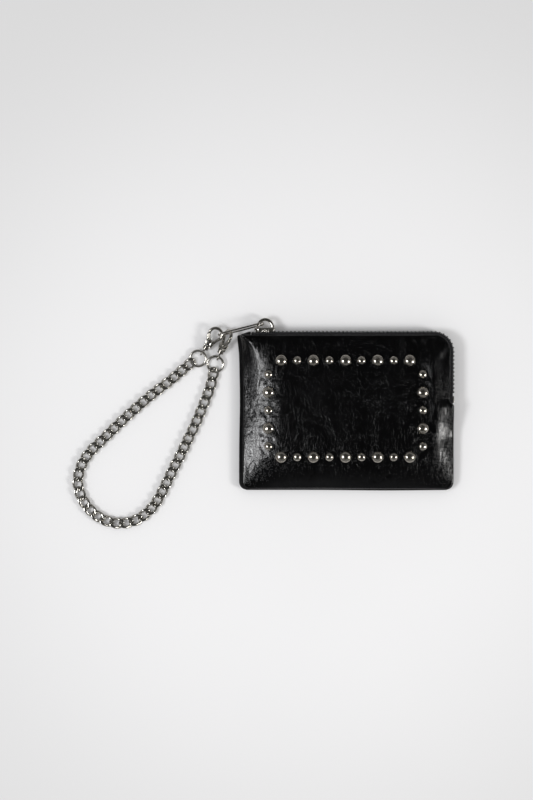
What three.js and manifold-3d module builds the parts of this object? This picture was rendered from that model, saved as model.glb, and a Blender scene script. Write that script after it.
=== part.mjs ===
// A small zipped leather pouch with studs, and a wrist strap of curb chain on two snap hooks.
// Millimetres, +Z up. The pouch lies on its back; the origin is the centre of its flat underside.
import * as THREE from 'three';
import { mergeVertices } from 'three/addons/utils/BufferGeometryUtils.js';
import Module from 'manifold-3d';

const wasm = await Module();
wasm.setup();

// ---- driving dimensions ----
const GAP = 0.3;                  // clearance between pieces that touch
const POUCH_WIDTH = 128.6;
const POUCH_HEIGHT = 94.6;
const LEATHER = 1.0;
const CENTRE_RISE = 2.4;          // of the front panel's middle above its zipped rim
const SEAM_HEIGHT = 4.0;          // where the front and back panels are sewn together
const FRONT_INSET = { left: 1.8, bottom: 0.7 };  // the back panel shows beyond the front one
const CORNER_RADIUS = 5;
const ZIP_CORNER_RADIUS = 12;
const LINING = 0.4;
const LINING_INSET = 7;

const TAPE = 0.4;
const TAPE_FLANGE = 4;            // part of the tape sewn under the leather
const ZIP_MARGIN = 7.3;           // from the left side to the end of the tapes
const ZIP_DROP = 43.3;            // how far the zip runs down the right side
const TOOTH_PITCH = 2.4;
const TOOTH_LENGTH = 0.9;
const TOOTH_THICKNESS = 2.2;
const TOOTH_REACH = 0.7;          // past the middle of the zip
const BEAD_INNER = 1.6;
const BEAD_OUTER = 2.6;
const BEAD_THICKNESS = 1.2;

const SLIDER_LENGTH = 12.6;
const SLIDER_WIDTH = 7.2;
const SLIDER_MARGIN = 1.7;        // from the end of the tapes to the closed slider
const INNER_PLATE = 1.4;
const OUTER_PLATE = 1.7;
const LIP = 0.7;
const CROWN_SPAN = 11.2;
const CROWN_RISE = 6.0;
const CROWN_BAR = 1.7;
const CROWN_WIDTH = 2.4;

const PULL_WIRE = 0.9;
const PULL_LENGTH = 27.6;         // between the middles of its two ends
const PULL_NEAR_WIDTH = 4.8;      // between the middles of its two limbs, at the crown
const PULL_FAR_WIDTH = 5.2;
const PULL_DIP = 14.4;            // degrees below the line of the zip
const PULL_ROLL = 14;             // degrees of lean about its own length
const PULL_OFFSET = { x: 1.1, y: 2.6 };  // its near bar, from the middle of the crown's foot

const STUD_LARGE = { radius: 3.6, rise: 2.6 };
const STUD_SMALL = { radius: 2.65, rise: 2.0 };
const STUD_NECK = 0.9;
const CLINCH_RADIUS = 1.8;
const CLINCH = 0.5;
const ROW_COUNT = 9;
const COLUMN_COUNT = 5;
const STUD_INSET = { left: 17.6, right: 19, top: 17.6, bottom: 19.5 };  // from the pouch's sides
const ROW_INSET = 7.68;           // from the columns to the ends of the rows
const COLUMN_INSET = { top: 8.2, bottom: 6.3 };

const HOOK_BAR = 1.7;
const HOOK_THROAT = 6.0;
const HOOK_TOP = 18.2;            // from the ring to the outside of the bend
const NOSE = 0.6;                 // straight part past the bend
const BARREL_RADIUS = 1.9;
const BARREL = [2.4, 4.4];        // along the hook, from the ring
const HEAD_WINDOW = [4.4, 5.7];
const HEAD_THICKNESS = 0.55;
const SLOT_FLOOR = 6.5;
const BASE_TOP = 8.9;
const BASE_WIDTH = 5.2;
const BASE_THICKNESS = 3.8;
const GATE_PIVOT = [7.6, -1.4];   // along and across the hook
const GATE_THICKNESS = 2.0;
const GATE_HALF_WIDTH = 0.9;
const PIN_RADIUS = 0.4;
const PIN_CLEARANCE = 0.12;
const EYE_OUTER = 2.3;
const EYE_INNER = 1.2;
const EYE_THICKNESS = 1.0;
const STEM_RADIUS = 0.5;
const HOOK_DROP = 3.1;            // of the swivel eyes below the middle of the zip

const RING_RADIUS = 4.7;          // to the middle of its wire
const RING_WIRE = 1.4;
const RING_TILT = 10;

const CHAIN_WIDTH = 6.9;
const CHAIN_THICKNESS = 3.6;
const CHAIN_STEPS = 80;
// from the far bar of the pull
const CHAIN_ROUTE = [
  [-17.7, -17.5], [-20.3, -19.7], [-23.7, -22.6], [-28.9, -27.1], [-34.6, -31.4], [-40.3, -35.8],
  [-45.8, -40.5], [-51.2, -45.2], [-56.5, -50], [-61.7, -54.9], [-66.8, -59.9], [-72, -64.9],
  [-77, -69.8], [-81, -75.5], [-83.6, -81.8], [-84.4, -88.7], [-82.9, -95.5], [-79.5, -101.8],
  [-74.6, -107], [-68.5, -110.8], [-61.7, -112.6], [-54.5, -112.3], [-47.8, -109.9], [-41.9, -105.4],
  [-37.3, -99.8], [-33.7, -93.4], [-30.5, -86.9], [-27.4, -80.5], [-24.1, -74.1], [-20.9, -67.6],
  [-17.8, -61.1], [-14.6, -54.6], [-11.8, -48], [-9, -41.3], [-6.5, -34.9], [-4.9, -30.4],
  [-3.3, -23.5],
];

// each eye from the far bar of the pull; angles in degrees
const HOOKS = [
  { name: 'left', eye: [-9.667, -10.336], heading: 53.6, pitch: 12, roll: 180, eyeRoll: 90 },
  { name: 'right', eye: [-0.167, -13.236], heading: 66, pitch: 8.6, roll: -58, eyeRoll: -32 },
];

// ---- sizes that follow ----
const HALF_WIDTH = POUCH_WIDTH / 2;
const HALF_HEIGHT = POUCH_HEIGHT / 2;
const ZIP_HEIGHT = LEATHER + GAP + TAPE + GAP + SLIDER_WIDTH / 2;
const ZIP_LINE = HALF_HEIGHT - TOOTH_THICKNESS / 2;
const ZIP_START = ZIP_MARGIN - HALF_WIDTH;
const ZIP_END = HALF_HEIGHT - ZIP_DROP;
const SLIDER_LEFT = ZIP_START + SLIDER_MARGIN;
const FLANGE_OFFSET = SLIDER_WIDTH / 2 + GAP;
const ZIP_RIM = ZIP_HEIGHT + FLANGE_OFFSET + TAPE + GAP;  // underside of the front panel there
const CENTRE_HEIGHT = ZIP_RIM + CENTRE_RISE;
const HOOK_EYE_HEIGHT = ZIP_HEIGHT - HOOK_DROP;
const CHANNEL = TOOTH_THICKNESS / 2 + GAP;
const PLATE_TOP = ZIP_LINE + CHANNEL + OUTER_PLATE;
const CROWN_CENTRE = SLIDER_LEFT + SLIDER_LENGTH / 2 + 0.3;
const PULL_PIVOT = [CROWN_CENTRE - PULL_OFFSET.x, PLATE_TOP + PULL_OFFSET.y];
const PULL_HEADING = THREE.MathUtils.degToRad(180 + PULL_DIP);
const PULL_END = [
  PULL_PIVOT[0] + PULL_LENGTH * Math.cos(PULL_HEADING),
  PULL_PIVOT[1] + PULL_LENGTH * Math.sin(PULL_HEADING),
];
const STUD_DEPTH = 2 * GAP + CLINCH;

const LOOKS = {
  leather: [0x0b0b0d, 0.28, 0],
  lining: [0x1b1b1e, 0.9, 0],
  tape: [0x111113, 0.85, 0],
  teeth: [0x0d0d0e, 0.35, 0.6],
  nickel: [0xb9b4aa, 0.22, 1],
  steel: [0x9c9a96, 0.3, 1],
};

const wallet = new THREE.Group();

// ---- shared shape code ----
const radians = THREE.MathUtils.degToRad;

// keeps positions alone, merges shared vertices and turns the faces outwards
function closed(geometry) {
  const bare = geometry.clone();
  bare.deleteAttribute('normal');
  bare.deleteAttribute('uv');
  const merged = mergeVertices(bare, 1e-4);
  const p = merged.attributes.position;
  const index = merged.index.array;
  const corner = (i) => new THREE.Vector3().fromBufferAttribute(p, i);
  let volume = 0;
  const kept = [];
  for (let i = 0; i < index.length; i += 3) {
    const [a, b, c] = [index[i], index[i + 1], index[i + 2]];
    if (a === b || b === c || a === c) continue;
    volume += corner(a).dot(corner(b).cross(corner(c)));
    kept.push(a, b, c);
  }
  if (volume < 0) {
    kept.reverse();
  }
  merged.setIndex(kept);
  return merged;
}

function solid(geometry) {
  const ready = closed(geometry);
  return new wasm.Manifold(new wasm.Mesh({
    numProp: 3,
    vertProperties: new Float32Array(ready.attributes.position.array),
    triVerts: new Uint32Array(ready.index.array),
  }));
}

function geometryOf(body) {
  const mesh = body.getMesh();
  const geometry = new THREE.BufferGeometry();
  geometry.setAttribute('position', new THREE.BufferAttribute(mesh.vertProperties, 3));
  geometry.setIndex(new THREE.BufferAttribute(mesh.triVerts, 1));
  return geometry;
}

function join(first, ...others) {
  return others.reduce((whole, next) => whole.add(solid(next)), solid(first));
}

function cut(body, ...tools) {
  return tools.reduce((rest, tool) => rest.subtract(solid(tool)), body);
}

function addPiece(name, geometry, look, parent = wallet) {
  const [color, roughness, metalness] = LOOKS[look];
  const piece = new THREE.Mesh(geometry, new THREE.MeshStandardMaterial({ color, roughness, metalness }));
  piece.name = name;
  parent.add(piece);
  return piece;
}

function box(low, high) {
  const size = high.map((value, i) => value - low[i]);
  const middle = high.map((value, i) => (value + low[i]) / 2);
  return new THREE.BoxGeometry(...size).translate(...middle);
}

function extrude(shape, low, high, curveSegments = 6) {
  const settings = { depth: high - low, bevelEnabled: false, curveSegments };
  return new THREE.ExtrudeGeometry(shape, settings).translate(0, 0, low);
}

function polygon(points) {
  return new THREE.Shape(points.map(([x, y]) => new THREE.Vector2(x, y)));
}

function smooth(value) {
  const t = THREE.MathUtils.clamp(value, 0, 1);
  return t * t * (3 - 2 * t);
}

// ---- the pouch's surface ----
function pillow(x, y) {
  const across = 1 - Math.abs(x / HALF_WIDTH) ** 4;
  const up = 1 - Math.abs(y / HALF_HEIGHT) ** 4;
  return Math.max(across, 0) * Math.max(up, 0);
}

// 1 where the rim carries the zip, 0 where it is sewn shut
function mouth(x, y) {
  const fromLeft = x + HALF_WIDTH;
  const fromTop = HALF_HEIGHT - y;
  const fromRight = HALF_WIDTH - x;
  const around = fromLeft / (fromLeft + fromTop + 1e-6);
  const topEnd = smooth((around - 0.1) / 0.45);
  const sideEnd = smooth((y - ZIP_END + 12 + 0.3 * fromRight) / (12 + 0.5 * fromRight));
  return sideEnd * topEnd;
}

function frontUnder(x, y) {
  const rim = THREE.MathUtils.lerp(SEAM_HEIGHT + GAP / 2, ZIP_RIM, mouth(x, y));
  return THREE.MathUtils.lerp(rim, CENTRE_HEIGHT, pillow(x, y));
}

function frontOver(x, y) {
  return frontUnder(x, y) + LEATHER;
}

function backUnder(x, y) {
  const rimRise = Math.max(0, 1 - pillow(x, y) / 0.5) ** 2;
  return (SEAM_HEIGHT - GAP / 2 - LEATHER) * (1 - mouth(x, y)) * rimRise;
}

// an outline with four rounded corners, as evenly spaced points
function outline(left, right, bottom, top, radius, zipRadius, count) {
  const shape = new THREE.Shape();
  shape.moveTo(left + radius, bottom);
  shape.lineTo(right - radius, bottom);
  shape.absarc(right - radius, bottom + radius, radius, -Math.PI / 2, 0);
  shape.lineTo(right, top - zipRadius);
  shape.absarc(right - zipRadius, top - zipRadius, zipRadius, 0, Math.PI / 2);
  shape.lineTo(left + radius, top);
  shape.absarc(left + radius, top - radius, radius, Math.PI / 2, Math.PI);
  shape.lineTo(left, bottom + radius);
  shape.absarc(left + radius, bottom + radius, radius, Math.PI, Math.PI * 1.5);
  return shape.getSpacedPoints(count).slice(0, count);
}

// a closed sheet of leather or cloth: rings of the outline drawn in towards its middle
function sheet(edge, shares, under, over) {
  const count = edge.length;
  const vertices = [];
  const triangles = [];
  const side = shares.length * count + 1;
  for (const height of [under, over]) {
    for (const share of shares) {
      for (const point of edge) {
        const [x, y] = [point.x * share, point.y * share];
        vertices.push(x, y, height(x, y));
      }
    }
    vertices.push(0, 0, height(0, 0));
  }
  for (const [start, turned] of [[0, true], [side, false]]) {
    const face = (a, b, c) => triangles.push(...(turned ? [a, c, b] : [a, b, c]));
    for (let i = 0; i < count; i++) {
      const next = (i + 1) % count;
      for (let ring = 0; ring + 1 < shares.length; ring++) {
        const [outer, inner] = [start + ring * count, start + (ring + 1) * count];
        face(outer + i, outer + next, inner + next);
        face(outer + i, inner + next, inner + i);
      }
      const last = start + (shares.length - 1) * count;
      face(last + i, last + next, start + side - 1);
    }
  }
  for (let i = 0; i < count; i++) {
    const next = (i + 1) % count;
    triangles.push(i, next, side + next);
    triangles.push(i, side + next, side + i);
  }
  const geometry = new THREE.BufferGeometry();
  geometry.setAttribute('position', new THREE.Float32BufferAttribute(vertices, 3));
  geometry.setIndex(triangles);
  return closed(geometry);
}

// ---- studs ----
function studPlaces() {
  const places = [];
  const [left, right] = [STUD_INSET.left - HALF_WIDTH, HALF_WIDTH - STUD_INSET.right];
  const [bottom, top] = [STUD_INSET.bottom - HALF_HEIGHT, HALF_HEIGHT - STUD_INSET.top];
  const rowPitch = (right - left - 2 * ROW_INSET) / (ROW_COUNT - 1);
  const columnRun = top - bottom - COLUMN_INSET.top - COLUMN_INSET.bottom;
  for (let i = 0; i < ROW_COUNT; i++) {
    const kind = i % 2 ? STUD_SMALL : STUD_LARGE;
    const x = left + ROW_INSET + i * rowPitch;
    places.push({ name: `stud_top_${i + 1}`, x, y: top, kind });
    places.push({ name: `stud_bottom_${i + 1}`, x, y: bottom, kind });
  }
  for (let i = 0; i < COLUMN_COUNT; i++) {
    const kind = i % 2 ? STUD_LARGE : STUD_SMALL;
    const y = top - COLUMN_INSET.top - i * columnRun / (COLUMN_COUNT - 1);
    places.push({ name: `stud_left_${i + 1}`, x: left, y, kind });
    places.push({ name: `stud_right_${i + 1}`, x: right, y, kind });
  }
  return places;
}

// a group standing on the leather, square to it
function standOn(x, y) {
  const reach = 2;
  const slopeX = (frontOver(x + reach, y) - frontOver(x - reach, y)) / (2 * reach);
  const slopeY = (frontOver(x, y + reach) - frontOver(x, y - reach)) / (2 * reach);
  const normal = new THREE.Vector3(-slopeX, -slopeY, 1).normalize();
  const seat = new THREE.Group();
  seat.position.set(x, y, frontOver(x, y));
  seat.quaternion.setFromUnitVectors(new THREE.Vector3(0, 0, 1), normal);
  seat.updateMatrixWorld(true);
  return seat;
}

// dome, neck and the clinched back behind the leather
function studGeometry({ radius, rise }) {
  const back = -LEATHER - 2 * GAP;
  const profile = [[0, back - CLINCH], [CLINCH_RADIUS, back - CLINCH], [CLINCH_RADIUS, back]];
  profile.push([STUD_NECK, back], [STUD_NECK, GAP], [radius, GAP]);
  for (const angle of [30, 62, 90]) {
    const [across, up] = [Math.cos(radians(angle)), Math.sin(radians(angle))];
    profile.push([angle === 90 ? 0 : radius * across, GAP + rise * up]);
  }
  const points = profile.map(([r, z]) => new THREE.Vector2(r, z));
  return closed(new THREE.LatheGeometry(points, 9).rotateX(Math.PI / 2));
}

function addStuds() {
  const shapes = new Map([STUD_LARGE, STUD_SMALL].map((kind) => [kind, studGeometry(kind)]));
  for (const { name, x, y, kind } of studPlaces()) {
    const seat = standOn(x, y);
    addPiece(name, shapes.get(kind), 'nickel', seat);
    wallet.add(seat);
  }
}

// ---- leather and lining ----
function addPanels() {
  const zipInset = TOOTH_THICKNESS;
  const [right, top] = [HALF_WIDTH - zipInset, HALF_HEIGHT - zipInset];
  const cornerRadius = ZIP_CORNER_RADIUS - zipInset;
  const shares = [1, 0.94, 0.86, 0.74, 0.5];
  const frontEdge = outline(
    -HALF_WIDTH + FRONT_INSET.left, right, -HALF_HEIGHT + FRONT_INSET.bottom, top,
    CORNER_RADIUS, cornerRadius, 64,
  );
  const backEdge = outline(-HALF_WIDTH, right, -HALF_HEIGHT, top, CORNER_RADIUS, cornerRadius, 64);
  const hole = new THREE.CylinderGeometry(STUD_NECK + GAP, STUD_NECK + GAP, 4 * LEATHER, 8);
  hole.rotateX(Math.PI / 2);
  const holes = studPlaces().map(({ x, y }) => hole.clone().applyMatrix4(standOn(x, y).matrixWorld));
  const front = cut(solid(sheet(frontEdge, shares, frontUnder, frontOver)), ...holes);
  addPiece('front_panel', geometryOf(front), 'leather');
  const backOver = (x, y) => backUnder(x, y) + LEATHER;
  addPiece('back_panel', sheet(backEdge, [1, 0.95, 0.88, 0.7], backUnder, backOver), 'leather');

  const inside = outline(
    -HALF_WIDTH + LINING_INSET, right - LINING_INSET, -HALF_HEIGHT + LINING_INSET,
    top - LINING_INSET, CORNER_RADIUS, CORNER_RADIUS, 40,
  );
  const hang = LEATHER + STUD_DEPTH + GAP;
  const liningUnder = (x, y) => frontOver(x, y) - hang - LINING;
  addPiece('front_lining', sheet(inside, [1, 0.85, 0.55], liningUnder,
    (x, y) => liningUnder(x, y) + LINING), 'lining');
  const restUnder = (x, y) => backOver(x, y) + 2 * GAP;
  addPiece('back_lining', sheet(inside, [1, 0.85, 0.55], restUnder,
    (x, y) => restUnder(x, y) + LINING), 'lining');
}

// ---- zip ----
function zipPath() {
  const corner = HALF_WIDTH - ZIP_CORNER_RADIUS;
  const turn = HALF_HEIGHT - ZIP_CORNER_RADIUS;
  const path = new THREE.Path();
  path.moveTo(ZIP_START, ZIP_LINE);
  path.lineTo(corner, ZIP_LINE);
  path.absarc(corner, turn, ZIP_LINE - turn, Math.PI / 2, 0, true);
  path.lineTo(HALF_WIDTH - TOOTH_THICKNESS / 2, ZIP_END);
  return path;
}

// the places where a strip along the zip turns or ends
function zipStations(path, from, to) {
  const length = path.getLength();
  const straight = HALF_WIDTH - ZIP_CORNER_RADIUS - ZIP_START;
  const bend = (ZIP_CORNER_RADIUS - TOOTH_THICKNESS / 2) * Math.PI / 2;
  const along = [from];
  for (let i = 0; i <= 6; i++) along.push(straight + bend * i / 6);
  along.push(length - to);
  return along.map((distance) => stationAt(path, distance / length));
}

function stationAt(path, share) {
  const point = path.getPointAt(share);
  const tangent = path.getTangentAt(share);
  return { point, tangent, outward: new THREE.Vector2(-tangent.y, tangent.x) };
}

// a strip with one section, carried along the zip
function strip(stations, section) {
  const points = section.map(([out, up]) => new THREE.Vector2(out, up));
  if (THREE.ShapeUtils.isClockWise(points)) {
    points.reverse();
  }
  const rows = stations.map(({ point, outward }) => points.map(({ x: out, y: up }) => [
    point.x + outward.x * out, point.y + outward.y * out, ZIP_HEIGHT + up,
  ]));
  const count = points.length;
  const triangles = [];
  for (let row = 0; row + 1 < rows.length; row++) {
    for (let i = 0; i < count; i++) {
      const next = (i + 1) % count;
      const [a, b] = [row * count + i, row * count + next];
      triangles.push(a, b, b + count, a, b + count, a + count);
    }
  }
  const end = (rows.length - 1) * count;
  for (const [a, b, c] of THREE.ShapeUtils.triangulateShape(points, [])) {
    triangles.push(a, c, b, end + a, end + b, end + c);
  }
  const geometry = new THREE.BufferGeometry();
  geometry.setAttribute('position', new THREE.Float32BufferAttribute(rows.flat(2), 3));
  geometry.setIndex(triangles);
  return closed(geometry);
}

// one side of the zip: `side` is 1 towards the front panel and -1 towards the back panel
function addZipSide(name, side) {
  const path = zipPath();
  const half = TAPE / 2;
  const [low, high] = [BEAD_OUTER + GAP, FLANGE_OFFSET + TAPE];
  const tape = [[half, low], [half, high], [-TAPE_FLANGE, high], [-TAPE_FLANGE, FLANGE_OFFSET],
    [-half, FLANGE_OFFSET], [-half, low]];
  const onSide = (section) => section.map(([out, up]) => [out, up * side]);
  addPiece(`${name}_zip_tape`, strip(zipStations(path, 0, 0), onSide(tape)), 'tape');

  const firstTooth = SLIDER_LEFT + 4.6 - ZIP_START;
  const length = path.getLength();
  const bead = BEAD_THICKNESS / 2;
  const section = [[bead, BEAD_INNER], [bead, BEAD_OUTER], [-bead, BEAD_OUTER], [-bead, BEAD_INNER]];
  let row = solid(strip(zipStations(path, firstTooth, 2 * TOOTH_PITCH), onSide(section)));
  const shift = side > 0 ? 0.25 : 0.75;
  const tooth = box(
    [-TOOTH_LENGTH / 2, -TOOTH_THICKNESS / 2, -TOOTH_REACH],
    [TOOTH_LENGTH / 2, TOOTH_THICKNESS / 2, BEAD_INNER + GAP],
  );
  const last = length - 2 * TOOTH_PITCH;
  for (let at = firstTooth + TOOTH_PITCH * shift; at < last - TOOTH_LENGTH; at += TOOTH_PITCH) {
    const { point, tangent } = stationAt(path, at / length);
    const placed = tooth.clone().scale(1, 1, side);
    placed.rotateZ(Math.atan2(tangent.y, tangent.x)).translate(point.x, point.y, ZIP_HEIGHT);
    row = row.add(solid(placed));
  }
  addPiece(`${name}_zip_teeth`, geometryOf(row), 'teeth');

  const stopLeft = SLIDER_LEFT - GAP;
  const stopCentre = (BEAD_INNER + BEAD_OUTER) / 2;
  const stop = box(
    [ZIP_START + GAP, ZIP_LINE - bead, -BEAD_THICKNESS / 2],
    [stopLeft, ZIP_LINE + bead, BEAD_THICKNESS / 2],
  );
  stop.translate(0, 0, ZIP_HEIGHT + side * stopCentre);
  addPiece(`${name}_top_stop`, closed(stop), 'nickel');
}

function addZipEnds() {
  const lineX = HALF_WIDTH - TOOTH_THICKNESS / 2;
  const half = TOOTH_THICKNESS / 2;
  const stop = box(
    [lineX - half, ZIP_END + GAP, ZIP_HEIGHT - BEAD_OUTER],
    [lineX + half, ZIP_END + 2 * TOOTH_PITCH - GAP, ZIP_HEIGHT + BEAD_OUTER],
  );
  addPiece('bottom_stop', closed(stop), 'nickel');
  const tabDepth = 4.2;
  const tab = box(
    [ZIP_START - tabDepth, ZIP_LINE - half - tabDepth, ZIP_HEIGHT - 1.3],
    [ZIP_START - GAP, ZIP_LINE - half, ZIP_HEIGHT + 0.6],
  );
  addPiece('zip_end_tab', closed(tab), 'leather');
}

// ---- slider and pull ----
function sliderPlate(inner, outer) {
  const [left, right] = [SLIDER_LEFT, SLIDER_LEFT + SLIDER_LENGTH];
  const half = SLIDER_WIDTH / 2;
  const shape = polygon([
    [left, -half * 0.55], [left + 1.6, -half], [right - 1.2, -half], [right, -half * 0.8],
    [right, half * 0.8], [right - 1.2, half], [left + 1.6, half], [left, half * 0.55],
  ]);
  return extrude(shape, -outer, -inner).rotateX(Math.PI / 2).translate(0, 0, ZIP_HEIGHT);
}

function sliderLips() {
  const lips = [];
  const [left, right] = [SLIDER_LEFT + 1.6, SLIDER_LEFT + SLIDER_LENGTH - 1.2];
  const inset = SLIDER_WIDTH / 2 - LIP;
  const slot = TAPE / 2 + GAP;
  for (const side of [-1, 1]) {
    for (const face of [-1, 1]) {
      const [z0, z1] = [side * inset, side * (inset + LIP)].sort((a, b) => a - b);
      const [y0, y1] = [face * slot, face * (CHANNEL + GAP)].sort((a, b) => a - b);
      lips.push(box([left, ZIP_LINE + y0, ZIP_HEIGHT + z0], [right, ZIP_LINE + y1, ZIP_HEIGHT + z1]));
    }
  }
  return lips;
}

// the arch on the slider that holds the pull
function crown() {
  const arch = new THREE.Shape();
  const foot = PLATE_TOP - GAP;
  const [span, rise] = [CROWN_SPAN / 2, CROWN_RISE + GAP];
  arch.moveTo(CROWN_CENTRE + span, foot);
  arch.absellipse(CROWN_CENTRE, foot, span, rise, 0, Math.PI);
  arch.lineTo(CROWN_CENTRE - span + CROWN_BAR, foot);
  arch.absellipse(CROWN_CENTRE, foot, span - CROWN_BAR, rise - CROWN_BAR, Math.PI, 0, true);
  return extrude(arch, ZIP_HEIGHT - CROWN_WIDTH / 2, ZIP_HEIGHT + CROWN_WIDTH / 2, 7);
}

function addSlider() {
  const outer = sliderPlate(ZIP_LINE + CHANNEL, PLATE_TOP);
  const inner = sliderPlate(ZIP_LINE - CHANNEL - INNER_PLATE, ZIP_LINE - CHANNEL);
  const post = box(
    [SLIDER_LEFT + 0.8, ZIP_LINE - CHANNEL - GAP, ZIP_HEIGHT - 0.9],
    [SLIDER_LEFT + 3.4, ZIP_LINE + CHANNEL + GAP, ZIP_HEIGHT + 0.9],
  );
  const body = join(outer, inner, post, ...sliderLips(), crown());
  addPiece('zip_slider', geometryOf(body), 'nickel');
}

function pullOutline(grow) {
  const near = PULL_NEAR_WIDTH / 2 + grow;
  const far = PULL_FAR_WIDTH / 2 + grow;
  const start = -grow;
  const end = PULL_LENGTH + grow;
  const ease = 1.4;
  return [
    [start, -near + ease], [start + ease, -near], [end - ease, -far], [end, -far + ease],
    [end, far - ease], [end - ease, far], [start + ease, near], [start, near - ease],
  ];
}

function addPull() {
  const half = PULL_WIRE / 2;
  const loop = polygon(pullOutline(half));
  loop.holes.push(polygon(pullOutline(-half)));
  const seat = new THREE.Group();
  seat.position.set(...PULL_PIVOT, ZIP_HEIGHT);
  seat.rotation.order = 'ZYX';
  seat.rotation.set(radians(90 + PULL_ROLL), 0, PULL_HEADING);
  addPiece('zip_pull', closed(extrude(loop, -half, half)), 'nickel', seat);
  wallet.add(seat);
}

// ---- snap hooks: x along the hook from the ring, y across towards the fixed leg ----
function hookBend() {
  const outer = HOOK_THROAT / 2 + HOOK_BAR;
  const inner = HOOK_THROAT / 2;
  const centre = HOOK_TOP - outer;
  const bend = new THREE.Shape();
  const foot = BASE_WIDTH / 2;
  bend.moveTo(SLOT_FLOOR, foot);
  bend.lineTo(SLOT_FLOOR, foot - HOOK_BAR);
  bend.lineTo(BASE_TOP, foot - HOOK_BAR);
  bend.lineTo(centre, inner);
  bend.absarc(centre, 0, inner, Math.PI / 2, -Math.PI / 2, true);
  bend.lineTo(centre - NOSE, -inner);
  bend.lineTo(centre - NOSE, -outer + 0.1);
  bend.absarc(centre, 0, outer, -Math.PI / 2, Math.PI / 2);
  return extrude(bend, -HOOK_BAR / 2, HOOK_BAR / 2, 8);
}

function hookBody() {
  const half = BASE_THICKNESS / 2;
  const wide = BASE_WIDTH / 2;
  const base = extrude(polygon([
    [BARREL[1] - GAP, -BARREL_RADIUS], [SLOT_FLOOR, -wide], [BASE_TOP, -wide], [BASE_TOP, wide],
    [SLOT_FLOOR, wide], [BARREL[1] - GAP, BARREL_RADIUS],
  ]), -half, half);
  const barrel = new THREE.CylinderGeometry(BARREL_RADIUS, BARREL_RADIUS, BARREL[1] - BARREL[0], 12);
  barrel.rotateZ(Math.PI / 2).translate((BARREL[0] + BARREL[1]) / 2, 0, 0);
  const bore = new THREE.CylinderGeometry(STEM_RADIUS + GAP, STEM_RADIUS + GAP, HEAD_WINDOW[1], 8);
  bore.rotateZ(Math.PI / 2).translate(HEAD_WINDOW[1] / 2, 0, 0);
  const window = box([HEAD_WINDOW[0], -1.6, -wide], [HEAD_WINDOW[1], 1.6, wide]);
  const slotHalf = GATE_THICKNESS / 2 + GAP;
  const slot = box([SLOT_FLOOR, -wide - 1, -slotHalf], [BASE_TOP + 1, 0.3, slotHalf]);
  const pinHole = new THREE.CylinderGeometry(
    PIN_RADIUS + PIN_CLEARANCE, PIN_RADIUS + PIN_CLEARANCE, 2 * BASE_THICKNESS, 8,
  );
  pinHole.rotateX(Math.PI / 2).translate(...GATE_PIVOT, 0);
  const block = cut(join(base, barrel), bore, window, slot, pinHole);
  return block.add(solid(hookBend()));
}

function gateGeometry() {
  const noseEnd = HOOK_TOP - HOOK_THROAT / 2 - HOOK_BAR - NOSE;
  const tip = [noseEnd - 2 * GAP, -(HOOK_THROAT + HOOK_BAR) / 2];
  const run = [tip[0] - GATE_PIVOT[0], tip[1] - GATE_PIVOT[1]];
  const length = Math.hypot(...run);
  const lean = Math.atan2(run[1], run[0]);
  const shape = new THREE.Shape();
  shape.absarc(0, 0, GATE_HALF_WIDTH + 0.1, Math.PI / 2, Math.PI * 1.5);
  shape.lineTo(length, -GATE_HALF_WIDTH);
  shape.lineTo(length, GATE_HALF_WIDTH);
  const bar = extrude(shape, -GATE_THICKNESS / 2, GATE_THICKNESS / 2, 4);
  const hole = new THREE.CylinderGeometry(
    PIN_RADIUS + PIN_CLEARANCE, PIN_RADIUS + PIN_CLEARANCE, 2 * GATE_THICKNESS, 8,
  );
  hole.rotateX(Math.PI / 2);
  const gate = geometryOf(cut(solid(bar), hole));
  return gate.rotateZ(lean).translate(...GATE_PIVOT, 0);
}

function springGeometry() {
  const halfWidth = 0.5;
  const [foot, bendAt, end] = [SLOT_FLOOR + GAP, BASE_TOP - 0.2, BASE_TOP + 2];
  const leaf = polygon([
    [foot, -0.1], [bendAt, -0.1], [end, -1.3], [end + 0.2, -1.1], [bendAt + 0.2, 0.15], [foot, 0.15],
  ]);
  return extrude(leaf, -halfWidth, halfWidth);
}

function swivelGeometry() {
  const ring = new THREE.Shape().absarc(0, 0, EYE_OUTER, 0, Math.PI * 2);
  ring.holes.push(new THREE.Path().absarc(0, 0, EYE_INNER, 0, Math.PI * 2, true));
  const eye = extrude(ring, -EYE_THICKNESS / 2, EYE_THICKNESS / 2, 6);
  const rod = (radius, from, to) => new THREE.CylinderGeometry(radius, radius, to - from, 8)
    .rotateZ(Math.PI / 2).translate((from + to) / 2, 0, 0);
  const headStart = HEAD_WINDOW[0] + GAP;
  const stem = rod(STEM_RADIUS, EYE_OUTER - GAP, headStart + HEAD_THICKNESS / 2);
  const head = rod(2 * STEM_RADIUS, headStart, headStart + HEAD_THICKNESS);
  return geometryOf(join(eye, stem, head));
}

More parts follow.
